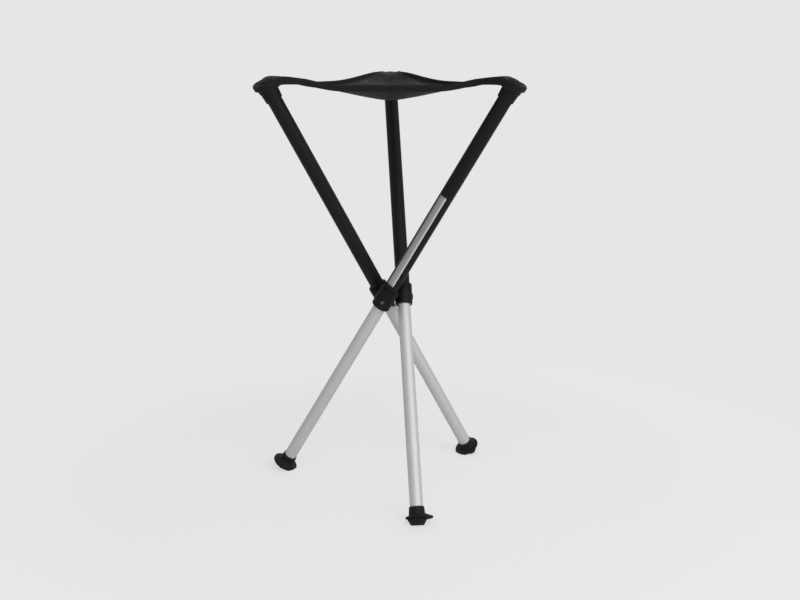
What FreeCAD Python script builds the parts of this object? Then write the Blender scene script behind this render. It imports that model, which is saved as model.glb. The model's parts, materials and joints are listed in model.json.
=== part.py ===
# Collapsible telescopic stool: three crossing telescopic legs, a central hub and a fabric seat.
# Millimetres, +Z up. The origin is on the floor under the middle of the stool's box.
import FreeCAD, Part
import math
import os

from FreeCAD import Placement, Rotation, Vector

# Driving dimensions
LEG_TILT = 31.5          # degrees from upright, stool open
HUB_HEIGHT = 306.0       # where the legs pass each other
HUB_OFFSET = 21.0        # leg axis to the stool's centre line
OUTER_TUBE_R = 11.0
OUTER_TUBE_WALL = 0.75
INNER_TUBE_R = 9.95
INNER_TUBE_WALL = 1.0
OUTER_TUBE_LOW = 5.0     # places along a leg are measured up from its pivot
OUTER_TUBE_HIGH = 389.5
INNER_TUBE_HIGH = 60.0
FOOT_CENTRE_HEIGHT = 8.9
SEAT_TURN = {"left": 125.84, "right": 245.84, "rear": 5.84}  # azimuth of each leg's pivot

# Hub and collar
COLLAR_LOW, COLLAR_HIGH = -15.0, 18.0
COLLAR_R = 13.4
COLLAR_LIP_R = 14.0
COLLAR_WIDENING = 1.3    # each side, square to the pivot, which makes the collar's outside an oval
COLLAR_LIP_HEIGHT = 7.0
COLLAR_GROOVE = 0.5
RUNNING_GAP = 0.05       # radial, where one piece turns or slides in another
BODY_GAP = 0.3           # between pieces that move past each other
CORE_APOTHEM = 6.2
CORE_CORNER_R = 10.4
CORE_HALF_HEIGHT = 14.5
PIVOT_PAD_R = 7.5
PIVOT_R = 3.0
PIVOT_HEAD_R = 4.8
PIVOT_HEAD_THICK = 0.9
PIVOT_INNER_END = 2.2    # from the stool's centre line

# Release button and catch
BUTTON_TURN = 13.0       # degrees round the leg from straight outward
BUTTON_HEIGHT = -2.0
BUTTON_R = 3.8
BUTTON_FLANGE_R = 4.8
BUTTON_FLANGE_THICK = 1.0
BUTTON_PROUD = 0.9
BUTTON_TRAVEL = 1.6
BOSS_REACH = 13.8        # leg axis to the button boss's face
BOSS_R = 7.0
CATCH_PIN_R = 2.4
CATCH_LEAF_WIDTH = 5.0
CATCH_LEAF_THICK = 0.6
CATCH_LEAF_TOP = 27.0

# Slide bush, foot, top cap
BUSH_FLANGE = 7.0
BUSH_SPIGOT = 14.0
BUSH_BORE_R = 6.5
SOLE_R = 13.2             # where the sole meets the cuff
SOLE_DEPTH = 11.0
SOLE_SHOULDER = (14.4, 2.6)   # radius, and depth under the foot's centre
SOLE_FLAT_R = 10.0
CUFF_HEIGHT = 16.5
CUFF_TOP_R = 11.5
CUFF_LOW_R = 12.3
CUFF_LOW_HEIGHT = 6.0
PLATE_R = 20.7
PLATE_OFFSET = 3.3
PLATE_THICK = 2.9
PLATE_RISE = 0.6         # the plate's middle, above the place half its thickness under the foot's centre
TUBE_SEAT = 1.0          # the inner tube's end, above the foot's centre
PLATE_NOTCHES = 18
PLATE_CONE = (18.6, 8.6, 5.0)    # the web from the plate up to the cuff: low radius, high radius, height
NOTCH_R = 1.6
CAP_LOW = 364.0
CAP_LOW_R = 12.8
CAP_HIGH_R = 13.7
CAP_TOP = 391.5
CAP_PLUG_LOW = 386.0

# Fabric
CLOTH = 1.6
POCKET_LOW = 379.0
POCKET_R = 15.0
POCKET_TOP = 395.5
POCKET_ROLL_HEIGHT = 391.5
POCKET_ROLL_R = 4.4
POCKET_REACH = 18.8
PANEL_THICK = 1.4
PANEL_PROFILE = [(0.0, 609.8), (20.0, 612.8), (40.0, 617.2), (60.0, 622.8), (80.0, 630.0), (110.0, 636.0),
                 (150.0, 640.6), (200.0, 645.0)]
EDGE_CORNER_RADIUS = 193.0   # plan radius of an edge's ends, measured along the corner's azimuth
EDGE_CORNER_Z = 642.8
EDGE_MIDDLE_RADIUS = 80.0
EDGE_MIDDLE_Z = {"front": 631.7, "right": 634.0, "left": 634.0}
EDGE_THICK = 3.0
EDGE_TALL_CORNER = 15.2
EDGE_TALL_MIDDLE = 9.2
EDGE_FALL = (0.07, 0.29)     # shares of an edge between which it comes down from a front corner
EDGE_FALL_REAR = (0.0, 0.52)     # the same from the rear corner, where the cloth hangs looser
EDGE_NARROWING = (0.03, 0.12)
EDGE_SEAM_GAP = 0.3      # between two edges where they meet at a corner
EDGE_STATIONS = 25

# Label strip on one outer tube
LABEL_LOW, LABEL_HIGH = 28.7, 195.0
LABEL_THICK = 0.25
LABEL_TURN = -6.5
LABEL_SPAN = 62.0

X, Y, Z = Vector(1, 0, 0), Vector(0, 1, 0), Vector(0, 0, 1)
O = Vector(0, 0, 0)
COS_TILT = math.cos(math.radians(LEG_TILT))
SIN_TILT = math.sin(math.radians(LEG_TILT))
FOOT_CENTRE = -(HUB_HEIGHT - FOOT_CENTRE_HEIGHT) / COS_TILT
SLIDE_TRAVEL = COLLAR_LOW - (FOOT_CENTRE + CUFF_HEIGHT) - 3.0


def cylinder(radius, low, high):
    """A solid cylinder on the leg's axis between two heights."""
    return Part.makeCylinder(radius, high - low, Vector(0, 0, low), Z)


def across(radius, near, far, height=0.0, turn=0.0):
    """A cylinder square to the leg's axis, from one distance from that axis to another."""
    direction = Rotation(Z, turn).multVec(X)
    start = direction * near + Z * height
    return Part.makeCylinder(radius, far - near, start, direction)


def turned(points):
    """A solid of revolution about the leg's axis from (radius, height) points."""
    wire = Part.makePolygon([Vector(r, 0, h) for r, h in points + points[:1]])
    return Part.Face(wire).revolve(O, Z, 360)


def outer_tube():
    """Black tube that carries the seat."""
    tube = cylinder(OUTER_TUBE_R, OUTER_TUBE_LOW, OUTER_TUBE_HIGH)
    return tube.cut(cylinder(OUTER_TUBE_R - OUTER_TUBE_WALL, OUTER_TUBE_LOW - 1, OUTER_TUBE_HIGH + 1))


def top_cap():
    """Moulded cap with a tapered skirt over the tube's top end and a plug inside it."""
    cap = turned([
        (0, CAP_PLUG_LOW + 2), (OUTER_TUBE_R - OUTER_TUBE_WALL - 1.5, CAP_PLUG_LOW),
        (OUTER_TUBE_R - OUTER_TUBE_WALL, CAP_PLUG_LOW), (OUTER_TUBE_R - OUTER_TUBE_WALL, OUTER_TUBE_HIGH),
        (OUTER_TUBE_R, OUTER_TUBE_HIGH), (OUTER_TUBE_R, CAP_LOW), (CAP_LOW_R - 0.3, CAP_LOW),
        (CAP_LOW_R, CAP_LOW + 0.6), (CAP_HIGH_R, POCKET_LOW - 1), (CAP_HIGH_R, CAP_TOP - 5),
        (CAP_HIGH_R - 2, CAP_TOP - 1.5), (CAP_HIGH_R - 5, CAP_TOP), (0, CAP_TOP)])
    return cap


def collar():
    """Moulded collar: seats the outer tube, guides the inner tube, turns on the hub's pivot."""
    bore = INNER_TUBE_R + RUNNING_GAP
    lip = COLLAR_HIGH - COLLAR_LIP_HEIGHT
    outside = [
        (COLLAR_R - 0.9, COLLAR_LOW), (COLLAR_R, COLLAR_LOW + 1.2),
        (COLLAR_R + COLLAR_GROOVE, lip - 2 * COLLAR_GROOVE), (COLLAR_R, lip), (COLLAR_LIP_R, lip + COLLAR_GROOVE),
        (COLLAR_LIP_R, COLLAR_HIGH - 0.6), (COLLAR_LIP_R - 0.6, COLLAR_HIGH)]
    half = turned([(0, COLLAR_LOW)] + outside + [(0, COLLAR_HIGH)])
    across_pivot = [Vector(r, -COLLAR_WIDENING, h) for r, h in outside]
    across_pivot += [Vector(-r, -COLLAR_WIDENING, h) for r, h in outside[::-1]]
    straight = Part.Face(Part.makePolygon(across_pivot + across_pivot[:1])).extrude(Y * 2 * COLLAR_WIDENING)
    body = half.translated(-Y * COLLAR_WIDENING).fuse([half.translated(Y * COLLAR_WIDENING), straight])
    body = body.removeSplitter().cut([
        cylinder(bore, COLLAR_LOW - 1, OUTER_TUBE_LOW + 1), cylinder(OUTER_TUBE_R, OUTER_TUBE_LOW, COLLAR_HIGH + 1)])
    pad_reach = HUB_OFFSET - CORE_APOTHEM - BODY_GAP
    pad = across(PIVOT_PAD_R, -pad_reach, 0).cut(cylinder(COLLAR_R - 1, COLLAR_LOW, COLLAR_HIGH))
    boss = across(BOSS_R, 0, BOSS_REACH, BUTTON_HEIGHT, BUTTON_TURN)
    boss = boss.makeFillet(0.8, [e for e in boss.Edges if is_far_rim(e, BOSS_REACH)])
    boss = boss.cut(cylinder(COLLAR_R - 1, COLLAR_LOW, COLLAR_HIGH))
    body = body.fuse([pad, boss])
    head_floor = INNER_TUBE_R + BODY_GAP + PIVOT_HEAD_THICK + BODY_GAP
    body = body.cut([
        across(PIVOT_R + RUNNING_GAP, -pad_reach - 1, 0),
        across(PIVOT_HEAD_R + BODY_GAP, -head_floor, 0),
        across(BUTTON_R + RUNNING_GAP, 0, BOSS_REACH + 1, BUTTON_HEIGHT, BUTTON_TURN),
        across(BUTTON_FLANGE_R + BODY_GAP, 0, button_seat() + 0.05, BUTTON_HEIGHT, BUTTON_TURN)])
    return body.removeSplitter()


def is_far_rim(edge, reach):
    """Whether an edge of the button's boss or button is the rim of its outer face."""
    at = edge.CenterOfMass
    flat = math.hypot(at.x, at.y)
    return edge.Closed and abs(flat - reach) < 0.01


def button_seat():
    """Distance from the leg's axis to the top of the button's flange when it is out."""
    return INNER_TUBE_R + BODY_GAP + BUTTON_TRAVEL + BUTTON_FLANGE_THICK + 0.1


def release_button():
    """Red push button with a retaining flange under the boss."""
    reach = BOSS_REACH + BUTTON_PROUD
    head = across(BUTTON_R, button_seat() - 0.2, reach, BUTTON_HEIGHT, BUTTON_TURN)
    head = head.makeFillet(0.7, [e for e in head.Edges if is_far_rim(e, reach)])
    flange = across(BUTTON_FLANGE_R, button_seat() - BUTTON_FLANGE_THICK, button_seat(), BUTTON_HEIGHT, BUTTON_TURN)
    return head.fuse(flange).removeSplitter()


def inner_tube():
    """Bright tube that slides in the outer tube, with the catch's hole."""
    low = FOOT_CENTRE + TUBE_SEAT
    tube = cylinder(INNER_TUBE_R, low, INNER_TUBE_HIGH)
    tube = tube.cut(cylinder(INNER_TUBE_R - INNER_TUBE_WALL, low - 1, INNER_TUBE_HIGH + 1))
    return tube.cut(across(CATCH_PIN_R + RUNNING_GAP, 0, INNER_TUBE_R + 1, BUTTON_HEIGHT, BUTTON_TURN))


def catch_pin():
    """Pin of the catch, drawn pressed in, level with the inner tube's wall."""
    pin = across(CATCH_PIN_R, catch_reach(), INNER_TUBE_R - 0.1, BUTTON_HEIGHT, BUTTON_TURN)
    return pin


def catch_reach():
    """Distance from the leg's axis to the outer face of the catch's leaf."""
    return INNER_TUBE_R - INNER_TUBE_WALL - 0.4


def catch_spring():
    """Hairpin leaf spring inside the inner tube, behind the catch's pin."""
    out, t = catch_reach(), CATCH_LEAF_THICK
    low, top = BUTTON_HEIGHT - 5, CATCH_LEAF_TOP
    outline = [(out, low), (out, low + 10), (1.2, top), (-1.2, top), (-out, low + 10), (-out, low),
               (t - out, low), (t - out, low + 10), (-0.9, top - t), (0.9, top - t), (out - t, low + 10),
               (out - t, low)]
    half = CATCH_LEAF_WIDTH / 2
    wire = Part.makePolygon([Vector(r, -half, h) for r, h in outline + outline[:1]])
    leaf = Part.Face(wire).extrude(Y * CATCH_LEAF_WIDTH)
    leaf = leaf.common(cylinder(INNER_TUBE_R - INNER_TUBE_WALL - 0.1, low - 1, top + 1))
    leaf.rotate(O, Z, BUTTON_TURN)
    return leaf


def slide_bush():
    """Plug with a flange in the inner tube's top, which runs in the outer tube."""
    spigot = INNER_TUBE_R - INNER_TUBE_WALL
    running = OUTER_TUBE_R - OUTER_TUBE_WALL - RUNNING_GAP
    return turned([
        (BUSH_BORE_R, INNER_TUBE_HIGH - BUSH_SPIGOT), (spigot, INNER_TUBE_HIGH - BUSH_SPIGOT),
        (spigot, INNER_TUBE_HIGH), (running - 0.5, INNER_TUBE_HIGH), (running, INNER_TUBE_HIGH + 0.5),
        (running, INNER_TUBE_HIGH + BUSH_FLANGE - 0.5), (running - 0.5, INNER_TUBE_HIGH + BUSH_FLANGE),
        (BUSH_BORE_R, INNER_TUBE_HIGH + BUSH_FLANGE)])


def foot():
    """Rubber foot: a cuff on the tube, a tapered sole and an off-centre plate with a notched rim."""
    c = FOOT_CENTRE
    body = turned([
        (0, c - SOLE_DEPTH), (SOLE_FLAT_R - 0.7, c - SOLE_DEPTH), (SOLE_FLAT_R, c - SOLE_DEPTH + 0.7),
        (SOLE_SHOULDER[0], c - SOLE_SHOULDER[1]), (SOLE_R, c), (CUFF_LOW_R, c + CUFF_LOW_HEIGHT),
        (CUFF_TOP_R, c + CUFF_HEIGHT - 0.8), (CUFF_TOP_R - 0.5, c + CUFF_HEIGHT), (INNER_TUBE_R, c + CUFF_HEIGHT),
        (INNER_TUBE_R, c + TUBE_SEAT), (0, c + TUBE_SEAT)])
    centre = Vector(PLATE_OFFSET, 0, c + PLATE_RISE - PLATE_THICK / 2)
    plate = Part.makeCylinder(PLATE_R, PLATE_THICK, centre, Z)
    plate = plate.makeFillet(1.0, [e for e in plate.Edges if e.Closed])
    notch = Part.makeCylinder(NOTCH_R, PLATE_THICK + 2, centre + Vector(PLATE_R + NOTCH_R * 0.45, 0, -1), Z)
    notches = []
    for i in range(PLATE_NOTCHES):
        one = notch.copy()
        one.rotate(centre, Z, 360.0 * i / PLATE_NOTCHES)
        notches.append(one)
    low_r, high_r, tall = PLATE_CONE
    web = Part.makeCone(low_r, high_r, tall, centre + Z * (PLATE_THICK - 0.2), Z)
    plate = plate.cut(notches).fuse(web).cut(cylinder(INNER_TUBE_R + 1, c - 3, c + 8))
    return body.fuse(plate)


def pocket():
    """Fabric pocket over the top cap, with a thick roll round its outer side."""
    hood = turned([
        (0, POCKET_LOW), (POCKET_R - 0.8, POCKET_LOW), (POCKET_R, POCKET_LOW + 1), (POCKET_R, POCKET_TOP - 7),
        (POCKET_R - 2.5, POCKET_TOP - 2.5), (POCKET_R - 7, POCKET_TOP), (0, POCKET_TOP)])
    roll = Part.makeTorus(POCKET_REACH - POCKET_ROLL_R, POCKET_ROLL_R, Vector(0, 0, POCKET_ROLL_HEIGHT), Z, 0, 360, 150)
    roll.rotate(O, Z, 15)
    return hood.fuse(roll).cut([top_cap(), outer_tube(), cylinder(OUTER_TUBE_R, 370, CAP_TOP - 1)])


def pocket_envelope():
    """The room that a pocket takes, with a gap, to be left out of the seat's cloth."""
    return cylinder(POCKET_R + BODY_GAP, POCKET_LOW - 8, POCKET_TOP + 12)


def label_strip():
    """Bare metal foil strip on the outer tube."""
    ring = cylinder(OUTER_TUBE_R + LABEL_THICK, LABEL_LOW, LABEL_HIGH)
    ring = ring.cut(cylinder(OUTER_TUBE_R, LABEL_LOW - 1, LABEL_HIGH + 1))
    wedge = Part.makeCylinder(OUTER_TUBE_R + 2, LABEL_HIGH - LABEL_LOW, Vector(0, 0, LABEL_LOW), Z, LABEL_SPAN)
    wedge.rotate(O, Z, LABEL_TURN - LABEL_SPAN / 2)
    return ring.common(wedge)


def pivot_rivet():
    """Pivot with a flat head inside the collar's wall, pressed into the hub core."""
    head_face = INNER_TUBE_R + BODY_GAP
    shank = across(PIVOT_R, -(HUB_OFFSET - PIVOT_INNER_END), -head_face)
    return shank.fuse(across(PIVOT_HEAD_R, -head_face - PIVOT_HEAD_THICK, -head_face)).removeSplitter()


def leg_placement(turn):
    """Leg frame to stool frame: local x is outward through the pivot, local z is up the leg."""
    at = Rotation(Z, turn).multVec(Vector(HUB_OFFSET, 0, 0)) + Vector(0, 0, HUB_HEIGHT)
    return Placement(at, Rotation(Z, turn).multiply(Rotation(X, -LEG_TILT)))


def pivot_placement(turn):
    """Pivot frame to stool frame: the hub side of a pivot stays upright."""
    at = Rotation(Z, turn).multVec(Vector(HUB_OFFSET, 0, 0)) + Vector(0, 0, HUB_HEIGHT)
    return Placement(at, Rotation(Z, turn))


def placed(shape, placement):
    moved = shape.copy()
    moved.transformShape(placement.toMatrix())
    return moved


def hub_core():
    """Three-sided block that holds the three pivots."""
    reach = 2 * CORE_APOTHEM
    corners = [Rotation(Z, turn + 60).multVec(Vector(reach, 0, HUB_HEIGHT - CORE_HALF_HEIGHT))
               for turn in SEAT_TURN.values()]
    block = Part.Face(Part.makePolygon(corners + corners[:1])).extrude(Z * 2 * CORE_HALF_HEIGHT)
    block = block.common(Part.makeCylinder(CORE_CORNER_R, 2 * CORE_HALF_HEIGHT,
                                           Vector(0, 0, HUB_HEIGHT - CORE_HALF_HEIGHT), Z))
    return block.cut([placed(pivot_rivet(), pivot_placement(t)) for t in SEAT_TURN.values()])


def corner_azimuth(turn):
    """Plan direction of a seat corner."""
    at = leg_placement(turn).multVec(Vector(0, 0, POCKET_TOP))
    return math.degrees(math.atan2(at.y, at.x))


def eased(value, start, end):
    """0 before start, 1 after end, and smooth between them."""
    share = min(1.0, max(0.0, (value - start) / (end - start)))
    return share * share * (3 - 2 * share)


def plan_point(radius, azimuth, z):
    return Rotation(Z, azimuth).multVec(Vector(radius, 0, z))


def edge_band(azimuth_a, azimuth_b, middle_z, falls):
    """Bound edge of the seat between two corners: taller at the corners than in the middle."""
    middle = azimuth_a + ((azimuth_b - azimuth_a) % 360) / 2
    ends = [plan_point(EDGE_CORNER_RADIUS, a, EDGE_CORNER_Z) for a in (azimuth_a, azimuth_b)]
    line = Part.Arc(ends[0], plan_point(EDGE_MIDDLE_RADIUS, middle, EDGE_CORNER_Z), ends[1])
    first, last = line.FirstParameter, line.LastParameter
    sections = []
    for i in range(EDGE_STATIONS):
        share = i / (EDGE_STATIONS - 1)
        at = line.value(first + (last - first) * share)
        along = line.tangent(first + (last - first) * share)[0]
        side = along.cross(Z).normalize() * (EDGE_THICK / 2)
        from_corner = min(share, 1 - share)
        at.z += (middle_z - EDGE_CORNER_Z) * eased(share, *falls[0]) * eased(1 - share, *falls[1])
        half = (EDGE_TALL_CORNER + (EDGE_TALL_MIDDLE - EDGE_TALL_CORNER) * eased(from_corner, *EDGE_NARROWING)) / 2
        corners = [at + side * a + Z * (half * b) for a, b in ((1, 1), (-1, 1), (-1, -1), (1, -1))]
        sections.append(Part.makePolygon(corners + corners[:1]))
    return Part.makeLoft(sections, True, True)


def corner_seam(azimuth):
    """The thin upright slice between two edges at their corner."""
    slab = Part.makeBox(250, EDGE_SEAM_GAP, 120, Vector(0, -EDGE_SEAM_GAP / 2, 580))
    slab.rotate(O, Z, azimuth)
    return slab


def seat_panel(azimuths, bands):
    """Sagging cloth between the edge bands, a thin dish trimmed to a three-sided outline."""
    below = [Vector(r, 0, z - PANEL_THICK / 2) for r, z in PANEL_PROFILE]
    above = [Vector(r, 0, z + PANEL_THICK / 2) for r, z in PANEL_PROFILE]
    wire = Part.makePolygon(below + above[::-1] + below[:1])
    dish = Part.Face(wire).revolve(O, Z, 360)
    arcs = []
    for a, b in zip(azimuths, azimuths[1:] + azimuths[:1]):
        middle = a + ((b - a) % 360) / 2
        arcs.append(Part.Arc(plan_point(EDGE_CORNER_RADIUS, a, 600), plan_point(EDGE_MIDDLE_RADIUS, middle, 600),
                             plan_point(EDGE_CORNER_RADIUS, b, 600)).toShape())
    outline = Part.Face(Part.Wire(arcs)).extrude(Z * 80)
    panel = dish.common(outline).cut(bands)
    return max(panel.Solids, key=lambda s: s.Volume)


def floor_trim(shape):
    """Levels a foot's sole with the floor, stool open."""
    return shape.cut(Part.makeBox(800, 800, 50, Vector(-400, -400, -50)))


def build():
    """Every node of the stool, with the floor's centre of its box at the origin."""
    nodes = {"hub_core": hub_core()}
    leg_pieces = {
        "outer_tube": outer_tube(), "top_cap": top_cap(), "hub_collar": collar(), "seat_pocket": pocket(),
        "release_button": release_button(), "inner_tube": inner_tube(), "slide_bush": slide_bush(),
        "catch_pin": catch_pin(), "catch_spring": catch_spring(), "foot": foot()}
    for name, turn in SEAT_TURN.items():
        for piece, shape in leg_pieces.items():
            nodes[f"{piece}_{name}"] = placed(shape, leg_placement(turn))
        nodes[f"foot_{name}"] = floor_trim(nodes[f"foot_{name}"])
        nodes[f"pivot_rivet_{name}"] = placed(pivot_rivet(), pivot_placement(turn))
    nodes["label_strip"] = placed(label_strip(), leg_placement(SEAT_TURN["right"]))
    order = ("left", "right", "rear")
    azimuths = [corner_azimuth(SEAT_TURN[n]) for n in order]
    room = [placed(pocket_envelope(), leg_placement(SEAT_TURN[n])) for n in order]
    seams = [corner_seam(a) for a in azimuths]
    falls = {"left": EDGE_FALL, "right": EDGE_FALL, "rear": EDGE_FALL_REAR}
    bands = []
    for i, side in enumerate(("front", "right", "left")):
        a, b = i, (i + 1) % 3
        band = edge_band(azimuths[a], azimuths[b], EDGE_MIDDLE_Z[side], (falls[order[a]], falls[order[b]]))
        band = max(band.cut(room + seams).Solids, key=lambda s: s.Volume)
        bands.append(band)
        nodes[f"edge_band_{side}"] = band
    nodes["seat_panel"] = max(seat_panel(azimuths, bands).cut(room).Solids, key=lambda s: s.Volume)
    box = FreeCAD.BoundBox()
    for shape in nodes.values():
        box.add(shape.BoundBox)
    shift = Vector(-box.Center.x, -box.Center.y, 0)
    for shape in nodes.values():
        shape.translate(shift)
    return nodes, shift


nodes, shift = build()
os.makedirs("parts", exist_ok=True)
for node, shape in nodes.items():
    shape.exportStep(f"parts/{node}.step")
print("centre line at", round(shift.x, 4), round(shift.y, 4), "slide travel", round(SLIDE_TRAVEL, 2))
for node, shape in nodes.items():
    print(node, "solids", len(shape.Solids), "faces", len(shape.Faces), "valid", shape.isValid(),
          "cm3", round(shape.Volume / 1000, 2))
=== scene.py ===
# Collapsible stool: three crossing telescopic legs, a net seat with cloth corners, and rubber feet.
import json
import math

import bpy
from mathutils import Euler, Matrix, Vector, noise


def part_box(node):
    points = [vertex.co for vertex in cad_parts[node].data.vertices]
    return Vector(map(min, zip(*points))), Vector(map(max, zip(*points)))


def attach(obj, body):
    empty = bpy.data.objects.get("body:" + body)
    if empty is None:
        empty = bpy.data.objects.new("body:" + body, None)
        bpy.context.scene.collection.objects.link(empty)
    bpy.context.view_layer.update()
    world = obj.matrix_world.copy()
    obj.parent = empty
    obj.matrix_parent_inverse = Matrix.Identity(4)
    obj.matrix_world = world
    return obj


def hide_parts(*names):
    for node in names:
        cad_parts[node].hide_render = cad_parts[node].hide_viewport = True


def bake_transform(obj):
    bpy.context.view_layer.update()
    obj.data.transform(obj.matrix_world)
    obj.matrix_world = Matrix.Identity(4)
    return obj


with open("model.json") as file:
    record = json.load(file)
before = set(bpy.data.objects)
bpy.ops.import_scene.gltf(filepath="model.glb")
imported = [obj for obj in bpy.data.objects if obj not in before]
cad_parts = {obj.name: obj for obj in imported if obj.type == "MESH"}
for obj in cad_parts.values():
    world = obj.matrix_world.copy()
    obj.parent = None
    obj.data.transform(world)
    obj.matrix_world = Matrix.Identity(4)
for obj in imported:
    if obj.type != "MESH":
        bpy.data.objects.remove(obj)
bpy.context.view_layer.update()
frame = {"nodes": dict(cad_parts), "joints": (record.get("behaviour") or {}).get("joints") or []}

MM = 0.001
LEG_NAMES = ("left", "right", "rear")
JOINTS = {joint["name"]: joint for joint in frame["joints"]}

# Seat cloth, in millimetres
LEG_TOP = 395.5               # height up the leg, from its pivot, of the top of its cap
CORNER_REACH = 193.0          # plan distance of the hems' meeting point from the stool's middle
EDGE_PULL = 16.5              # how far the middle of an edge is pulled in from a straight line
CORNER_HEIGHT = (642.8, 642.8, 645.0)     # of the hems at the left, right and rear corners
MIDDLE_HEIGHT = (634.6, 634.6, 631.7)     # of the edges opposite those corners
# Shares of the way from a corner to the next between which the hem falls to its middle height
FALL = {"left": (0.07, 0.29), "right": (0.07, 0.29), "rear": (0.15, 0.6)}
# The dish's height by distance from the stool's middle
SAG = ((0, 610.3), (18, 612.4), (40, 616.3), (65, 621.2), (93, 627.0), (130, 634.0), (165, 640.0),
       (200, 645.0))
NET_ROWS = 100                # rows of the lattice from an edge to the opposite corner
NET_HOLE = 0.66               # width of a cell's hole as a share of the cell's
NET_THICK = 0.82
CLOTH_START = 0.73            # corner share at which the cloth corner begins
CLOTH_LAP = 0.02              # share by which the net goes on under it
CLOTH_THICK = 1.2
HEM_THICK, HEM_TALL, HEM_TALL_CORNER = 3.0, 9.2, 15.2
ROLL_THICK, ROLL_TALL = 8.6, 9.2          # of the hem where it is rolled round the leg's outer side
STITCH_PITCH, STITCH_LONG, STITCH_THICK = 3.2, 2.3, 0.45
STITCH_INSET = 2.2            # of a hem's stitch lines from its long edges
STITCH_SINK = 0.1             # of those stitches into the hem

# Label strip: distances in metres up the leg from its pivot, angles in degrees round the leg
LABEL_MIDDLE, LABEL_END_LINE = 0.11185, 0.082
# The last of these is the angle past which one long edge of the strip is painted pale: a painted highlight.
LABEL_TURN, LABEL_SIDE_LINE, LABEL_HIGHLIGHT_EDGE = 6.5, 27.5, 21

BUTTON_RADIUS = 0.0038        # metres

# Camera, in degrees and in millimetres from the stool's middle
LENS = 51.47
CAMERA_TURN = (77.206, -0.078, -0.62)
CAMERA_PLACE = (-4.15, -1760.1, 699.33)

# Floor and light, in metres
PALE = 0.791                  # the background's brightness
WORLD_LIGHT = 0.42            # the brightness of the air that lights the stool
FLOOR_HALF = 3
SHADOW_END = (0.4, 0.9)       # distances from the middle between which the floor stops taking shadow
NEAR_SHARE = 0.6              # share of the even pale tone, against the lit paint, up to the first of them
NEAR_GLOW = 1.2               # keeps the floor as pale where it takes shadow


# Measures

def eased(value, start, end):
    """0 before start, 1 after end, smooth between."""
    share = min(1.0, max(0.0, (value - start) / (end - start)))
    return share * share * (3 - 2 * share)


def between(table, value):
    """Straight-line reading of a table of (place, reading) pairs."""
    for (a, low), (b, high) in zip(table, table[1:]):
        if value <= b:
            return low + (high - low) * max(0.0, (value - a) / (b - a))
    return table[-1][1]


class Leg:
    """A leg's own directions with the stool open: x out through its pivot, y to its outer side, z up it."""

    def __init__(self, name):
        self.name = name
        self.pivot = Vector(JOINTS["fold_" + name]["pos_m"])
        self.x = Vector(JOINTS["fold_" + name]["axis"]).normalized()
        self.z = Vector(JOINTS["slide_" + name]["axis"]).normalized()
        self.y = self.z.cross(self.x)

    def at(self, x, y, z):
        """The place at x, y and z millimetres from the pivot."""
        return self.pivot + (self.x * x + self.y * y + self.z * z) * MM


legs = {name: Leg(name) for name in LEG_NAMES}
middle = sum((leg.pivot for leg in legs.values()), Vector()) / 3
middle.z = 0.0
corner_ways = [(leg.at(0, 0, LEG_TOP) - middle).to_2d().normalized() for leg in legs.values()]


def seat_plan(shares):
    """Plan place, from the stool's middle, of a point given by its shares of the three corners."""
    place = Vector((0.0, 0.0))
    for way, share in zip(corner_ways, shares):
        place += way * (CORNER_REACH * share)
    for k in range(3):
        a, b = shares[(k + 1) % 3], shares[(k + 2) % 3]
        place += corner_ways[k] * (EDGE_PULL * 4 * a * b * (a + b))
    return place


def hem_height(opposite, shares):
    """Height of a hem's middle line. The edge is named by the corner opposite to it."""
    height = low = MIDDLE_HEIGHT[opposite]
    for k in ((opposite + 1) % 3, (opposite + 2) % 3):
        height += (CORNER_HEIGHT[k] - low) * (1 - eased(1 - shares[k], *FALL[LEG_NAMES[k]]))
    return height


def seat_point(shares):
    """Place on the seat's surface: a dish that sags in the middle and meets the hems at its edges."""
    plan = seat_plan(shares)
    opposite = min(range(3), key=lambda k: shares[k])
    out = 1 - 3 * shares[opposite]
    height = between(SAG, plan.length)
    if out > 1e-6:
        at_edge = [1 / 3 + (share - 1 / 3) / out for share in shares]
        at_edge[opposite] = 0.0
        height += (hem_height(opposite, at_edge) - between(SAG, seat_plan(at_edge).length)) * out ** 3
    return middle + Vector((plan.x * MM, plan.y * MM, height * MM))


def edge_point(corner, other, share):
    """Place on the hem line between two corners, share being the way from the first to the second."""
    shares = [0.0, 0.0, 0.0]
    shares[corner], shares[other] = 1 - share, share
    return seat_point(shares)


def through(points, steps):
    """A smooth row of readings through the given ones, each a tuple of vectors and numbers."""
    row = []
    ends = [points[0]] + list(points) + [points[-1]]
    for a, b, c, d in zip(ends, ends[1:], ends[2:], ends[3:]):
        for i in range(steps):
            t = i / steps
            row.append(tuple(
                (p1 * 2 + (p2 - p0) * t + (p0 * 2 - p1 * 5 + p2 * 4 - p3) * t ** 2
                 + (p1 * 3 - p0 - p2 * 3 + p3) * t ** 3) * 0.5
                for p0, p1, p2, p3 in zip(a, b, c, d)))
    row.append(points[-1])
    return row


# Meshes

def piece(name, points, faces, finish, uv=None):
    """A smooth mesh object at the origin. uv gives a pair for each point of each face."""
    mesh = bpy.data.meshes.new(name)
    mesh.from_pydata([tuple(p) for p in points], [], faces)
    if uv:
        layer = mesh.uv_layers.new(name="cloth")
        layer.data.foreach_set("uv", [value for pair in uv for value in pair])
    mesh.polygons.foreach_set("use_smooth", [True] * len(mesh.polygons))
    mesh.materials.append(finish)
    mesh.update()
    thing = bpy.data.objects.new(name, mesh)
    bpy.context.scene.collection.objects.link(thing)
    return thing


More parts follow.
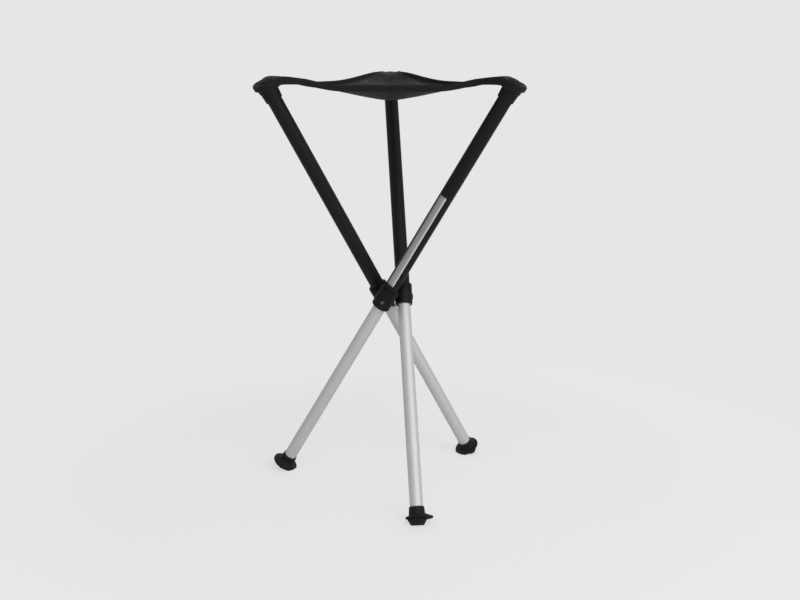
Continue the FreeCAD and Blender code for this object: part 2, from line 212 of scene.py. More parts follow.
def grid(name, rows, finish, lengths, widths, ring=False, caps="none"):
    """A sheet, or with ring a tube, from rows of points, with a UV map in metres.

    lengths and widths are the map's readings along the rows and across them. caps closes a tube at its
    last row, or at both ends.
    """
    count = len(rows[0])
    points = [p for row in rows for p in row]
    faces, uv = [], []
    for i in range(len(rows) - 1):
        for j in range(count if ring else count - 1):
            k = (j + 1) % count
            faces.append((i * count + j, i * count + k, (i + 1) * count + k, (i + 1) * count + j))
            uv += [(lengths[i], widths[j]), (lengths[i], widths[j + 1]),
                   (lengths[i + 1], widths[j + 1]), (lengths[i + 1], widths[j])]
    if caps == "both":
        faces.append(tuple(range(count - 1, -1, -1)))
        uv += [(0.0, 0.0)] * count
    if caps != "none":
        faces.append(tuple((len(rows) - 1) * count + j for j in range(count)))
        uv += [(0.0, 0.0)] * count
    return piece(name, points, faces, finish, uv)


def thicken(thing, thick, offset=0.0):
    """Gives a sheet its thickness."""
    wall = thing.modifiers.new("thickness", "SOLIDIFY")
    wall.thickness = thick * MM
    wall.offset = offset
    wall.use_even_offset = True
    return thing


class Nodes:
    """Adds nodes to a shader or geometry tree: kind, settings first, then the sockets' values or links."""

    def __init__(self, tree):
        self.tree = tree

    def node(self, kind, settings=None, **sockets):
        """A new node."""
        made = self.tree.nodes.new(kind)
        for key, value in (settings or {}).items():
            setattr(made, key, value)
        for key, value in sockets.items():
            self.feed(self.socket(made.inputs, key), value)
        return made

    def socket(self, group, key):
        """The socket with that name, underscores for spaces, or that number after the letter n."""
        if key[0] == "n" and key[1:].isdigit():
            return group[int(key[1:])]
        return next(s for s in group if s.name == key.replace("_", " ") and s.enabled)

    def feed(self, socket, value):
        """Links a value to a socket, or sets the socket to a plain number, colour or vector."""
        if isinstance(value, Value):
            value = value.socket
        if isinstance(value, bpy.types.NodeSocket):
            self.tree.links.new(value, socket)
        elif socket.type == "RGBA" and len(value) == 3:
            socket.default_value = (*value, 1)
        else:
            socket.default_value = value

    def value(self, kind, settings=None, out=0, **sockets):
        """A new node's output, ready for sums."""
        made = self.node(kind, settings, **sockets)
        return Value(self, made.outputs[out])

    def vector(self, operation, first, second=(0.0, 0.0, 0.0), out=0):
        """A Vector Math node's vector, or its number with out="Value"."""
        return self.value("ShaderNodeVectorMath", {"operation": operation}, out=out, n0=first, n1=second)


class Value:
    """A socket that takes part in Python sums: each sum adds a Math node."""

    def __init__(self, nodes, socket):
        self.nodes, self.socket = nodes, socket

    def math(self, operation, first, second=0.0, third=0.0):
        return self.nodes.value("ShaderNodeMath", {"operation": operation}, n0=first, n1=second, n2=third)

    def __add__(self, other):
        return self.math("ADD", self, other)

    __radd__ = __add__

    def __sub__(self, other):
        return self.math("SUBTRACT", self, other)

    def __rsub__(self, other):
        return self.math("SUBTRACT", other, self)

    def __mul__(self, other):
        return self.math("MULTIPLY", self, other)

    __rmul__ = __mul__

    def __truediv__(self, other):
        return self.math("DIVIDE", self, other)

    def __gt__(self, other):
        return self.math("GREATER_THAN", self, other)

    def wave(self):
        """A wave from 0 to 1 with a crest each whole number."""
        return self.math("COSINE", self * math.tau) * 0.5 + 0.5

    def magnitude(self):
        return self.math("ABSOLUTE", self)

    def both(self, other):
        return self.math("MINIMUM", self, other)

    def either(self, other):
        return self.math("MAXIMUM", self, other)

    def from_to(self, low, high, start=0.0, end=1.0):
        """start up to low, end from high on, smooth between."""
        return self.nodes.value("ShaderNodeMapRange", {"interpolation_type": "SMOOTHSTEP"}, Value=self,
                                From_Min=low, From_Max=high, To_Min=start, To_Max=end)


# Finishes

class Finish(Nodes):
    """A material with its shader, to be filled in by the finish's own function."""

    def __init__(self, name, colour, roughness, metallic=0.0, specular=0.3):
        self.material = bpy.data.materials.new(name)
        self.material.use_nodes = True
        super().__init__(self.material.node_tree)
        self.shader = next(n for n in self.tree.nodes if n.type == "BSDF_PRINCIPLED")
        self.set("Base Color", colour)
        self.set("Roughness", roughness)
        self.set("Metallic", metallic)
        self.set("Specular IOR Level", specular)

    def set(self, name, value):
        """Sets or links one of the shader's sockets."""
        self.feed(self.shader.inputs[name], value)

    def place(self):
        """The place on the object, in metres."""
        return self.value("ShaderNodeTexCoord", out="Object")

    def cloth(self):
        """The two readings of the piece's UV map, in metres."""
        split = self.node("ShaderNodeSeparateXYZ", Vector=self.value("ShaderNodeUVMap", {"uv_map": "cloth"}))
        return Value(self, split.outputs[0]), Value(self, split.outputs[1])

    def along(self, way, start=None):
        """Distance in metres along a direction, from the origin or from a given point."""
        reach = self.vector("DOT_PRODUCT", self.place(), tuple(way), out="Value")
        return reach - start.dot(way) if start else reach

    def stretched(self, leg, across, lengthwise):
        """A position for noise that is drawn out along a leg."""
        x, y, z = (self.along(way, leg.pivot) * scale
                   for way, scale in ((leg.x, across), (leg.y, across), (leg.z, lengthwise)))
        return self.value("ShaderNodeCombineXYZ", X=x, Y=y, Z=z)

    def noise(self, scale, detail=2.0, rough=0.5, at=None):
        """Cloudy noise around 0.5, at the place on the object or at a position made from it."""
        return self.value("ShaderNodeTexNoise", Vector=at or self.place(), Scale=scale, Detail=detail,
                          Roughness=rough)

    def mix(self, mask, under, over):
        """A colour that goes from under to over with a mask."""
        return self.value("ShaderNodeMix", {"data_type": "RGBA"}, out=2, n0=mask, n6=under, n7=over)

    def tint(self, mask, light, dark):
        """Base colour that goes from dark to light with a mask."""
        self.set("Base Color", self.mix(mask, dark, light))

    def dull(self, mask, low, high):
        """Roughness that goes from low to high with a mask."""
        self.set("Roughness", mask * (high - low) + low)

    def bump(self, height, depth, under=None):
        """Relief: height from 0 to 1 stands for depth in millimetres."""
        sockets = {"Height": height, "Distance": depth * MM, "Strength": 1.0}
        if under:
            sockets["Normal"] = under
        relief = self.value("ShaderNodeBump", **sockets)
        self.set("Normal", relief)
        return relief


def black_anodised(leg):
    """Satin black anodised aluminium with faint marks drawn along the tube."""
    f = Finish("black_anodised_" + leg.name, (0.0085, 0.0085, 0.0092), 0.42, specular=0.16)
    drawn = f.noise(1.0, 3, at=f.stretched(leg, 900, 9))
    cloud = f.noise(28, 3)
    f.tint(drawn * 0.6 + cloud * 0.4, (0.0125, 0.0125, 0.0135), (0.006, 0.006, 0.0065))
    f.dull(drawn * 0.5 + cloud * 0.5, 0.34, 0.52)
    f.bump(drawn, 0.006)
    return f.material


def silver_anodised(leg):
    """Matt silver anodised aluminium, with light rings rubbed round it where it slides."""
    f = Finish("silver_anodised_" + leg.name, (0.70, 0.705, 0.71), 0.56, metallic=0.54, specular=0.35)
    drawn = f.noise(1.0, 3, at=f.stretched(leg, 1100, 7))
    cloud = f.noise(22, 2)
    f.tint(drawn * 0.55 + cloud * 0.45, (0.74, 0.745, 0.752), (0.63, 0.635, 0.64))
    rings = f.noise(1.0, 2, at=f.stretched(leg, 6, 420)).from_to(0.45, 0.75)
    f.dull(rings * 0.5 + drawn * 0.5, 0.54, 0.68)
    f.bump(drawn, 0.0006)
    return f.material


def moulded_plastic(name, colour, low, high, specular=0.15):
    """Moulded plastic with a fine spark-eroded grain."""
    f = Finish(name, colour, low, specular=specular)
    grain = f.noise(2600, 2)
    cloud = f.noise(60, 3)
    f.tint(cloud.from_to(0.35, 0.7), tuple(c * 1.45 for c in colour), tuple(c * 0.9 for c in colour))
    f.dull(cloud * 0.6 + grain * 0.4, low, high)
    f.bump(grain, 0.03)
    return f.material


def signal_red(leg):
    """Red gloss plastic of a release button, its face a shallow dome, its centre painted pale pink as a
    painted highlight.
    """
    f = Finish("signal_red_" + leg.name, (0.075, 0.003, 0.008), 0.22, specular=0.6)
    press = Vector(JOINTS["press_" + leg.name]["axis"])
    low, high = (Vector(c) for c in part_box("release_button_" + leg.name))
    out = f.vector("SUBTRACT", f.place(), tuple((low + high) / 2))
    off_axis = f.vector("CROSS_PRODUCT", out, tuple(press))
    reach = f.vector("LENGTH", off_axis, out="Value") / BUTTON_RADIUS
    cloud = f.noise(300, 3)
    # The pale pink centre is a painted highlight, painted into the button's colour.
    f.tint(cloud * 0.1 + reach.from_to(0.15, 0.45, 0.9, 0.0), (0.42, 0.16, 0.19), (0.03, 0.001, 0.003))
    f.dull(cloud, 0.18, 0.3)
    grain = f.bump(f.noise(1800, 1), 0.006)
    f.bump(1 - reach * reach, 0.9, grain)
    return f.material


def steel(name, colour, low, high):
    """Plain steel with short brushed marks."""
    f = Finish(name, colour, low, metallic=1.0)
    marks = f.noise(1.0, 2, at=f.stretched(legs["rear"], 2500, 180))
    f.tint(marks, tuple(c * 1.15 for c in colour), tuple(c * 0.8 for c in colour))
    f.dull(marks, low, high)
    f.bump(marks, 0.004)
    return f.material


def foot_rubber():
    """Matt black rubber, with pale dust worked into its sole and rim."""
    f = Finish("foot_rubber", (0.0105, 0.0105, 0.011), 0.6, specular=0.22)
    grain = f.noise(1500, 3)
    patches = f.noise(120, 4, 0.6)
    low_down = f.along(Vector((0, 0, 1))).from_to(0.001, 0.008, 1.0, 0.0)
    dust = low_down * patches.from_to(0.4, 0.7)
    f.tint(dust * 0.5 + patches.from_to(0.5, 0.8) * 0.12, (0.075, 0.07, 0.064), (0.009, 0.009, 0.0095))
    f.dull(patches, 0.5, 0.72)
    f.bump(grain, 0.05)
    return f.material


def satin_foil(leg):
    """Bare satin foil strip: a thin dark line near one long edge and the ends, and a pale line painted along
    the other edge as a painted highlight.
    """
    f = Finish("satin_foil", (0.58, 0.585, 0.59), 0.32, metallic=0.9)
    across = f.along(leg.y, leg.pivot)
    turned = across.math("ARCTAN2", across, f.along(leg.x, leg.pivot))
    from_middle = turned + math.radians(LABEL_TURN)
    height = f.along(leg.z, leg.pivot)
    past_ends = (height - LABEL_MIDDLE).magnitude() - LABEL_END_LINE
    end_line = past_ends.magnitude().from_to(0.00025, 0.00035, 1.0, 0.0)
    side_line = (from_middle + math.radians(LABEL_SIDE_LINE)).magnitude().from_to(0.016, 0.022, 1.0, 0.0)
    # One long edge is painted pale: a painted highlight.
    painted_highlight_edge = from_middle.from_to(math.radians(LABEL_HIGHLIGHT_EDGE), math.radians(LABEL_HIGHLIGHT_EDGE + 1))
    scuffs = f.noise(1.0, 4, 0.65, at=f.stretched(leg, 500, 40))
    plain = f.mix(scuffs.from_to(0.45, 0.75), (0.5, 0.505, 0.51), (0.42, 0.425, 0.43))
    plain_with_highlight = f.mix(painted_highlight_edge, plain, (0.86, 0.865, 0.87))
    f.set("Base Color", f.mix(side_line.either(end_line), plain_with_highlight, (0.03, 0.03, 0.03)))
    f.dull(scuffs, 0.24, 0.42)
    f.bump(scuffs, 0.01)
    return f.material


def net_yarn():
    """Knitted polyester net: thin twisted yarns, painted a little lighter on their crowns as a painted
    highlight.
    """
    f = Finish("net_yarn", (0.012, 0.012, 0.013), 0.5, specular=0.2)
    twist = f.noise(2400, 2)
    cloud = f.noise(45, 3)
    # Lighter where the yarn's relief stands up: a painted highlight on the crowns, mixed with random tone.
    f.tint(twist * 0.6 + cloud * 0.4, (0.018, 0.018, 0.0193), (0.006, 0.006, 0.0065))
    f.dull(twist, 0.34, 0.6)
    f.bump(twist, 0.12)
    return f.material


def woven(name, pitch, light, dark, depth):
    """Plain weave on the cloth's own map: warp and weft pass over each other by turns. The raised threads
    are painted lighter and the hollows between them darker, as painted highlight and painted shade.
    """
    f = Finish(name, dark, 0.62, specular=0.12)
    f.set("Sheen Weight", 0.05)
    f.set("Sheen Roughness", 0.5)
    u, v = f.cloth()
    u, v = u / (pitch * MM), v / (pitch * MM)
    warp, weft = (u * 0.5).wave(), (v * 0.5).wave()
    over = warp * (1 - weft) + weft * (1 - warp)
    threads = u.wave() * v.wave()
    height = over * 0.6 + threads * 0.4
    cloud = f.noise(70, 4)
    # Colour follows the weave's relief: painted highlight on the raised threads, painted shade between them,
    # with some random tone.
    f.tint(height * 0.7 + cloud * 0.3, light, dark)
    f.dull(cloud, 0.5, 0.74)
    f.bump(height, depth)
    return f.material


def binding_tape():
    """Flat woven tape: fine ribs across it, in a herringbone of two strips, painted lighter on the ribs'
    crowns and darker in their hollows as painted highlight and painted shade.
    """
    f = Finish("binding_tape", (0.009, 0.009, 0.0095), 0.58, specular=0.12)
    f.set("Sheen Weight", 0.05)
    f.set("Sheen Roughness", 0.45)
    u, v = f.cloth()
    slant = (v / (3.0 * MM)).wave() * 0.8
    ribs = (u / (0.9 * MM) + slant).wave()
    fine = (v / (0.45 * MM)).wave()
    height = ribs * 0.75 + fine * 0.25
    cloud = f.noise(80, 4)
    # Colour follows the ribs' relief: painted highlight on their crowns, painted shade in their hollows,
    # with some random tone.
    f.tint(height * 0.6 + cloud * 0.4, (0.017, 0.017, 0.0185), (0.005, 0.005, 0.0055))
    f.dull(cloud, 0.46, 0.7)
    f.bump(height, 0.14)
    return f.material


def sewing_thread():
    """Bonded thread, twisted."""
    f = Finish("sewing_thread", (0.02, 0.02, 0.021), 0.4, specular=0.4)
    twist = f.noise(3500, 1)
    f.tint(twist, (0.045, 0.045, 0.047), (0.014, 0.014, 0.015))
    f.dull(twist, 0.34, 0.5)
    f.bump(twist, 0.05)
    return f.material


plastic = moulded_plastic("moulded_plastic", (0.0075, 0.0075, 0.0082), 0.36, 0.5)
core_plastic = moulded_plastic("core_plastic", (0.009, 0.009, 0.0095), 0.42, 0.56)
bush_plastic = moulded_plastic("bush_plastic", (0.62, 0.62, 0.60), 0.34, 0.46, 0.4)
spring_steel = steel("spring_steel", (0.42, 0.42, 0.43), 0.22, 0.34)
rivet_steel = steel("rivet_steel", (0.30, 0.30, 0.31), 0.3, 0.45)
rubber = foot_rubber()
net = net_yarn()
corner_cloth = woven("corner_cloth", 0.75, (0.013, 0.013, 0.014), (0.0045, 0.0045, 0.005), 0.13)
hood_cloth = woven("hood_cloth", 0.6, (0.016, 0.016, 0.0175), (0.0055, 0.0055, 0.006), 0.1)
tape = binding_tape()
thread = sewing_thread()


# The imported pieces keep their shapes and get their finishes

finishes = {"hub_core": core_plastic, "label_strip": satin_foil(legs["right"])}
for leg in legs.values():
    for kind, finish in (
            ("outer_tube", black_anodised(leg)), ("inner_tube", silver_anodised(leg)), ("top_cap", plastic),
            ("hub_collar", plastic), ("release_button", signal_red(leg)), ("slide_bush", bush_plastic),
            ("catch_pin", rivet_steel), ("catch_spring", spring_steel), ("pivot_rivet", rivet_steel),
            ("foot", rubber)):
        finishes[f"{kind}_{leg.name}"] = finish
for name, finish in finishes.items():
    node = frame["nodes"][name]
    node.data.materials.clear()
    node.data.materials.append(finish)


# Geometry node trees

class Growth(Nodes):
    """A geometry tree with named number inputs. A modifier's inputs are set by the sockets' identifiers."""

    def __init__(self, name, **sizes):
        group = bpy.data.node_groups.new(name, "GeometryNodeTree")
        super().__init__(group)
        self.sockets = {}
        group.interface.new_socket("Base", in_out="INPUT", socket_type="NodeSocketGeometry")
        for label, size in sizes.items():
            kind = "NodeSocketVector" if isinstance(size, tuple) else "NodeSocketFloat"
            made = group.interface.new_socket(label, in_out="INPUT", socket_type=kind)
            made.default_value = size
            self.sockets[label] = made.identifier
        group.interface.new_socket("Result", in_out="OUTPUT", socket_type="NodeSocketGeometry")
        self.start = group.nodes.new("NodeGroupInput")
        self.base = self.start.outputs["Base"]

    def size(self, label):
        """One of the tree's inputs, ready for sums."""
        return Value(self, self.start.outputs[label])

    def finish(self, geometry, material):
        """Ends the tree with plain geometry in one material."""
        real = self.node("GeometryNodeRealizeInstances", Geometry=geometry)
        made = self.node("GeometryNodeSetMaterial", Geometry=real.outputs[0], Material=material)
        end = self.node("NodeGroupOutput")
        self.feed(end.inputs["Result"], made.outputs[0])
        return self

    def grow(self, name, base, **sizes):
        """The tree's result on a base mesh, as a plain mesh object."""
        thing = bpy.data.objects.new(name, base)
        bpy.context.scene.collection.objects.link(thing)
        growth = thing.modifiers.new("growth", "NODES")
        growth.node_group = self.tree
        for label, value in sizes.items():
            growth[self.sockets[label]] = value
        bpy.context.view_layer.update()
        done = bpy.data.meshes.new_from_object(thing.evaluated_get(bpy.context.evaluated_depsgraph_get()))
        thing.modifiers.clear()
        thing.data = done
        done.name = name
        return thing


def net_growth():
    """Turns a lattice of triangles into a net: six-sided cells, each with a hole.

    Only the cells past both of two planes through Middle are kept.
    """
    any_way = (1.0, 0.0, 0.0)
    g = Growth("net", Hole=NET_HOLE, Middle=tuple(middle), Past_Left=any_way, Past_Right=any_way)
    cells = g.node("GeometryNodeDualMesh", Mesh=g.base, Keep_Boundaries=True)
    out = g.vector("SUBTRACT", g.value("GeometryNodeInputPosition"), g.size("Middle"))
    left, right = (g.vector("DOT_PRODUCT", out, g.size(label), out="Value")
                   for label in ("Past_Left", "Past_Right"))
    elsewhere = (left.both(right) * -1) > 0.0
    own = g.node("GeometryNodeDeleteGeometry", {"domain": "FACE"}, Geometry=cells.outputs[0],
                 Selection=elsewhere)
    frames = g.node("GeometryNodeExtrudeMesh", {"mode": "FACES"}, Mesh=own.outputs[0], Offset_Scale=0.0,
                    Individual=True)
    holes = g.node("GeometryNodeScaleElements", {"domain": "FACE"}, Geometry=frames.outputs[0],
                   Selection=frames.outputs["Top"], Scale=g.size("Hole"))
    open_net = g.node("GeometryNodeDeleteGeometry", {"domain": "FACE"}, Geometry=holes.outputs[0],
                      Selection=frames.outputs["Top"])
    joined = g.node("GeometryNodeMergeByDistance", Geometry=open_net.outputs[0], Distance=0.00001)
    return g.finish(joined.outputs[0], net)


def stitch_growth():
    """Lays stitches along the base mesh's lines."""
    g = Growth("stitches", Pitch=STITCH_PITCH * MM, Long=STITCH_LONG * MM, Thick=STITCH_THICK * MM)
    lines = g.node("GeometryNodeMeshToCurve", Mesh=g.base)
    spots = g.node("GeometryNodeCurveToPoints", {"mode": "LENGTH"}, Curve=lines.outputs[0],
                   Length=g.size("Pitch"))
    bead = g.node("GeometryNodeMeshUVSphere", Segments=5, Rings=4, Radius=0.5)
    shape = g.value("ShaderNodeCombineXYZ", X=g.size("Thick"), Y=g.size("Thick"), Z=g.size("Long"))
    laid = g.node("GeometryNodeInstanceOnPoints", Points=spots.outputs[0], Instance=bead.outputs[0],
                  Rotation=g.value("FunctionNodeAlignRotationToVector", {"axis": "Z"},
                                   Vector=spots.outputs["Tangent"]),
                  Scale=shape)
    return g.finish(laid.outputs[0], thread)


# The seat's net

def seat_lattice():
    """Triangles over the whole seat, in rows that follow its three hems, with their shared area."""
    points, faces, numbers = [], [], {}
    for i in range(NET_ROWS + 1):
        for j in range(NET_ROWS + 1 - i):
            shares = (i / NET_ROWS, j / NET_ROWS, (NET_ROWS - i - j) / NET_ROWS)
            if max(shares) <= CLOTH_START + CLOTH_LAP:
                numbers[i, j] = len(points)
                points.append(seat_point(shares))
    for i, j in numbers:
        for corners in (((i, j), (i + 1, j), (i, j + 1)), ((i + 1, j), (i + 1, j + 1), (i, j + 1))):
            if all(key in numbers for key in corners):
                faces.append(tuple(numbers[key] for key in corners))
    mesh = bpy.data.meshes.new("seat_lattice")
    mesh.from_pydata([tuple(p) for p in points], [], faces)
    mesh.update()
    return mesh, sum(face.area for face in mesh.polygons)


def across_ways(k):
    """The two plan directions that part a corner's third of the seat from the other two."""
    return [(*(corner_ways[k] - corner_ways[(k + step) % 3]).normalized(), 0.0) for step in (1, 2)]


# Hems, cloth corners and hoods

BANDS = ("edge_band_right", "edge_band_left", "edge_band_front")     # by the corner opposite
RAIL_SHARES = (0.5, 0.42, 0.34, 1 - CLOTH_START, 0.21, 0.16, 0.12)   # of the hem's readings along an edge
RAIL_STEPS = 8                # steps from one reading to the next
HEM_MAP_STEP = 0.0016         # metres round the hem from one point of its section to the next
CLOTH_FIRST, CLOTH_LAST = 3, 8            # readings between which the cloth corner lies
CLOTH_STITCHED = (1, 4)       # rows of the cloth corner, from the net, along which it is sewn
CLOTH_SINK = 0.8              # of the cloth's edges under the hems' tops
CLOTH_ARCH, CLOTH_FOLDS = 2.2, 1.3        # heights of the cloth's crown and of its folds
# Past the outline the hem runs round the leg's outer side: x, y, z up the leg, tallness, thickness, share
RAIL_ROUND = ((15.0, -17, 385.0, 12.2, 3.0, 0.075), (16.7, -4, 387.0, 12.4, 3.4, 0.03),
              (14.2, 8.0, 389.0, 12.0, 5.2, 0.0), (8.2, 13.0, 390.0, 10.4, 7.4, 0.0),
              (0.0, 14.6, 390.4, ROLL_TALL, ROLL_THICK, 0.0))


def hem_rail(k, other, leg, hand):
    """Readings along a hem from the middle of an edge to the corner's outer tip.

    Each is (place, tall direction, tallness, thickness, share). hand is the side of the leg, 1 or -1.
    """
    readings = []
    for share in RAIL_SHARES:
        tall = HEM_TALL_CORNER + (HEM_TALL - HEM_TALL_CORNER) * eased(share, 0.03, 0.12)
        readings.append((edge_point(k, other, share), Vector((0, 0, 1)), tall, HEM_THICK, share))
    for x, y, z, tall, thick, share in RAIL_ROUND:
        readings.append((leg.at(x * hand, y, z), leg.z, tall, thick, share))
    return through(readings, RAIL_STEPS)


def hem_section(place, tall_way, along, tall, thick, corners=16):
    """A rounded flat section as a ring of points, with its sideways and tall directions."""
    side = along.cross(tall_way).normalized()
    up = side.cross(along).normalized()
    square = 0.35 + 0.4 * min(1.0, thick / tall)
    ring = []
    for i in range(corners):
        turn = math.tau * (i + 0.5) / corners
        x = math.copysign(abs(math.cos(turn)) ** 0.75, math.cos(turn)) * thick / 2
        z = math.copysign(abs(math.sin(turn)) ** square, math.sin(turn)) * tall / 2
        ring.append(place + (side * x + up * z) * MM)
    return ring, side, up


def hem(name, rails, lines):
    """One corner's hem, from mid-edge to mid-edge, and its stitch lines."""
    whole = rails[0] + rails[1][-2::-1]
    rows, lengths = [], [0.0]
    drawn = {(side, level): [] for side in (-1, 1) for level in (-1, 1)}
    for i, (place, tall_way, tall, thick, share) in enumerate(whole):
        before, after = whole[max(i - 1, 0)][0], whole[min(i + 1, len(whole) - 1)][0]
        ring, side, up = hem_section(place, tall_way, (after - before).normalized(), tall, thick)
        ripple = noise.noise(place * 60) * 0.5 * eased(tall, HEM_TALL, HEM_TALL_CORNER) * MM
        rows.append([point + side * ripple for point in ring])
        if i:
            lengths.append(lengths[-1] + (place - whole[i - 1][0]).length)
        for (way, level), line in drawn.items():
            off, high = ripple + (thick / 2 - STITCH_SINK) * way * MM, (tall / 2 - STITCH_INSET) * level * MM
            line.append(place + side * off + up * high)
    lines += drawn.values()
    widths = [HEM_MAP_STEP * j for j in range(len(rows[0]) + 1)]
    return grid("seat_hem_" + name, rows, tape, lengths, widths, ring=True, caps="both")


def cloth_corner(name, k, neighbours, rails, lines):
    """Woven cloth between the two hems, from the net's edge into the hood."""
    first, last, cross = CLOTH_FIRST * RAIL_STEPS, CLOTH_LAST * RAIL_STEPS, 20
    rows, lengths = [], [0.0]
    for i in range(first, last + 1):
        t = (i - first) / (last - first)
        up, tall, share = (rails[0][i][n] for n in (1, 2, 4))
        rise = up.normalized() * (tall / 2 - CLOTH_SINK) * eased(t, 0.05, 0.45)
        moved = [rail[i][0] - edge_point(k, other, share) for rail, other in zip(rails, neighbours)]
        row = []
        for j in range(cross + 1):
            v = j / cross
            shares = [0.0, 0.0, 0.0]
            shares[k], shares[neighbours[0]], shares[neighbours[1]] = 1 - share, share * (1 - v), share * v
            spot = seat_point(shares) + moved[0] * (1 - v) + moved[1] * v
            fold = noise.noise(Vector((v * 5 + 7 * k, t * 1.5, 2.0))) * math.sin(math.pi * v)
            arch = CLOTH_ARCH * math.sin(math.pi * v) * eased(t, 0.1, 0.5)
            spot += (rise + Vector((0, 0, arch + CLOTH_FOLDS * fold * eased(t, 0.0, 0.4)))) * MM
            row.append(spot)
        rows.append(row)
        if len(rows) > 1:
            lengths.append(lengths[-1] + (rows[-1][cross // 2] - rows[-2][cross // 2]).length)
    for i in CLOTH_STITCHED:
        for level in (-1, 1):
            lines.append([spot + Vector((0, 0, CLOTH_THICK / 2 * level * MM)) for spot in rows[i]])
    width = (rows[0][0] - rows[0][cross]).length
    widths = [width * j / cross for j in range(cross + 1)]
    made = grid("seat_corner_" + name, rows, corner_cloth, lengths, widths)
    return thicken(made, CLOTH_THICK), lengths[-1], width


# Radius and height up the leg of the hood's rings, and of its two stitch lines
HOOD = ((14.2, 378.6), (14.6, 379.2), (14.9, 381.5), (15.1, 385.0), (15.2, 388.8), (14.9, 391.4),
        (13.6, 393.4), (10.8, 395.0), (7.0, 396.0), (3.0, 396.4), (0.4, 396.4))
HOOD_STITCHES = ((15.1, 382.0), (15.2, 384.5))
HOOD_GIRTH = math.tau * 15 * MM


def hood(name, leg, lines):
    """The pocket over the leg's top: a domed hood of doubled cloth."""
    rows, lengths, around = [], [0.0], 48
    for i, (radius, height) in enumerate(HOOD):
        row = []
        for j in range(around):
            turn = math.tau * j / around
            rub = noise.noise(Vector((math.cos(turn) * 1.6, math.sin(turn) * 1.6, height * 0.09))) * 0.45
            reach = radius + rub * min(1.0, radius / 8)
            row.append(leg.at(math.cos(turn) * reach, math.sin(turn) * reach, height))
        rows.append(row)
        if i:
            lengths.append(lengths[-1] + math.dist(HOOD[i], HOOD[i - 1]) * MM)
    for radius, height in HOOD_STITCHES:
        turns = [math.tau * j / 40 for j in range(41)]
        lines.append([leg.at(math.cos(turn) * radius, math.sin(turn) * radius, height) for turn in turns])
    made = grid("seat_hood_" + name, rows, hood_cloth, lengths,
                [HOOD_GIRTH * j / around for j in range(around + 1)], ring=True, caps="last")
    return thicken(made, CLOTH_THICK, -1.0)


def line_mesh(name, lines):
    """A mesh of loose edges from rows of points."""
    links, first = [], 0
    for line in lines:
        links += [(first + i, first + i + 1) for i in range(len(line) - 1)]
        first += len(line)
    mesh = bpy.data.meshes.new(name)
    mesh.from_pydata([tuple(spot) for line in lines for spot in line], links, [])
    return mesh


# The seat, corner by corner. The hem on the leg's -x side comes first

net_tree, stitch_tree = net_growth(), stitch_growth()
lattice, lattice_area = seat_lattice()
for k, name in enumerate(LEG_NAMES):
    leg = legs[name]
    neighbours = sorted(((k + 1) % 3, (k + 2) % 3),
                        key=lambda other: (edge_point(k, other, 0.3) - leg.at(0, 0, LEG_TOP)).dot(leg.x))
    rails = [hem_rail(k, other, leg, hand) for other, hand in zip(neighbours, (-1, 1))]
    ways = across_ways(k)
    seat_net = net_tree.grow("seat_net_" + name, lattice, Hole=NET_HOLE, Middle=tuple(middle),
                             Past_Left=ways[0], Past_Right=ways[1])
    thicken(seat_net, NET_THICK)
    lines = []
    seat_hem = hem(name, rails, lines)
    corner, corner_long, corner_wide = cloth_corner(name, k, neighbours, rails, lines)
    seat_hood = hood(name, leg, lines)
    stitch_lines = line_mesh("stitch_lines_" + name, lines)
    stitches = stitch_tree.grow("seat_stitches_" + name, stitch_lines, Pitch=STITCH_PITCH * MM)

    for thing in (seat_net, seat_hem, corner, stitches):
        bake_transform(thing)
    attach(seat_hood, "leg_" + name)
    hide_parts("seat_panel")
    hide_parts(*(BANDS[i] for i in neighbours[::-1]))
    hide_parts("seat_pocket_" + name)


# Camera, floor, light

camera_data = bpy.data.cameras.new("camera")
camera_data.lens = LENS
camera_data.sensor_width = 36
camera = bpy.data.objects.new("camera", camera_data)
camera.location = middle + Vector(CAMERA_PLACE) * MM
camera.rotation_euler = Euler([math.radians(turn) for turn in CAMERA_TURN])
bpy.context.scene.collection.objects.link(camera)
bpy.context.scene.camera = camera


def emptied(owner):
    """A world's or material's node tree with nothing in it yet."""
    owner.use_nodes = True
    owner.node_tree.nodes.clear()
    return Nodes(owner.node_tree)


def seen_directly(nodes):
    """1 for rays from the camera or through something clear, 0 for all others."""
    path = nodes.node("ShaderNodeLightPath")
    rays = [Value(nodes, path.outputs[f"Is {kind} Ray"]) for kind in ("Camera", "Transmission")]
    return rays[0].either(rays[1])


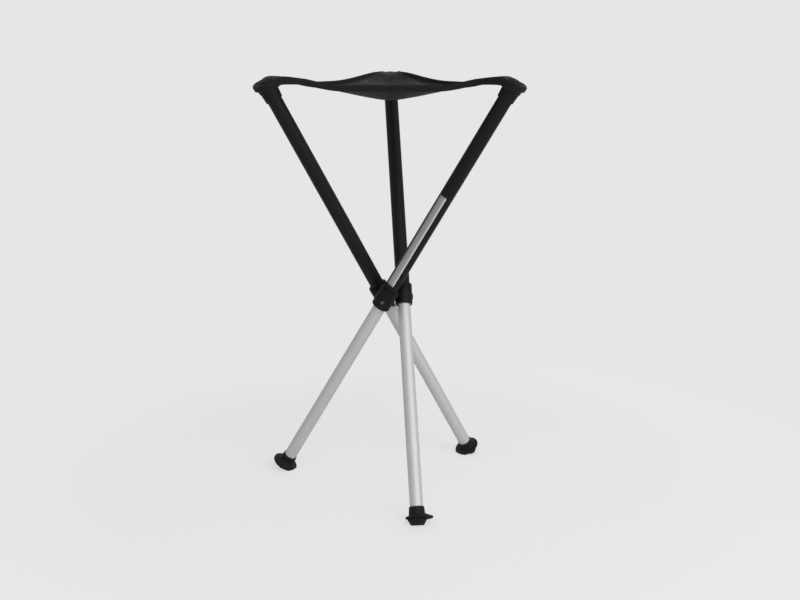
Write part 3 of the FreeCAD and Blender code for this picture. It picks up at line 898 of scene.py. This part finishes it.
world = bpy.data.worlds.new("studio")
air = emptied(world)
seen = seen_directly(air)
light_part = air.node("ShaderNodeBackground", Color=(WORLD_LIGHT,) * 3, Strength=1.0)
pale_part = air.node("ShaderNodeBackground", Color=(PALE,) * 3, Strength=1.0)
both = air.node("ShaderNodeMixShader", n0=seen, n1=light_part.outputs[0], n2=pale_part.outputs[0])
air.node("ShaderNodeOutputWorld", Surface=both.outputs[0])
bpy.context.scene.world = world

floor_paint = bpy.data.materials.new("pale_floor")
ground = emptied(floor_paint)
seen = seen_directly(ground)
away = ground.vector("LENGTH", ground.value("ShaderNodeTexCoord", out="Object"), out="Value")
shown = seen * away.from_to(*SHADOW_END, NEAR_SHARE, 1.0)
evened = away.from_to(*SHADOW_END, NEAR_GLOW, 1.0)
paint = ground.node("ShaderNodeBsdfDiffuse", Color=(0.8, 0.8, 0.8))
glow = ground.node("ShaderNodeEmission", Color=(PALE,) * 3, Strength=evened)
both = ground.node("ShaderNodeMixShader", n0=shown, n1=paint.outputs[0], n2=glow.outputs[0])
ground.node("ShaderNodeOutputMaterial", Surface=both.outputs[0])
corners = [(x * FLOOR_HALF, y * FLOOR_HALF, 0) for x, y in ((-1, -1), (1, -1), (1, 1), (-1, 1))]
floor = piece("floor", corners, [(0, 1, 2, 3)], floor_paint)


def softbox(name, place, target, wide, tall, power):
    """A soft area lamp turned to a point."""
    data = bpy.data.lights.new(name, "AREA")
    data.shape = "RECTANGLE"
    data.size, data.size_y, data.energy = wide, tall, power
    lamp = bpy.data.objects.new(name, data)
    lamp.location = place
    lamp.rotation_euler = (Vector(target) - Vector(place)).to_track_quat("-Z", "Y").to_euler()
    bpy.context.scene.collection.objects.link(lamp)


softbox("key", (0.9, -2.6, 2.1), (0, 0, 0.35), 2.8, 2.4, 37)
softbox("fill", (2.2, -1.6, 1.3), (0, 0, 0.35), 1.4, 2.0, 16)
softbox("back", (0.4, 2.4, 2.2), (0, 0, 0.45), 2.0, 1.2, 6)

# A small lamp 1.5 m away, where the front button mirrors it to the camera
face_way = -Vector(JOINTS["press_right"]["axis"]).normalized()
button = sum((Vector(c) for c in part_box("release_button_right")), Vector()) / 2
sight = (camera.location - button).normalized()
mirrored = face_way * (2 * face_way.dot(sight)) - sight
softbox("button_light", button + mirrored * 1.5, button, 0.18, 0.18, 1.2)

bpy.context.scene.view_settings.view_transform = "Standard"
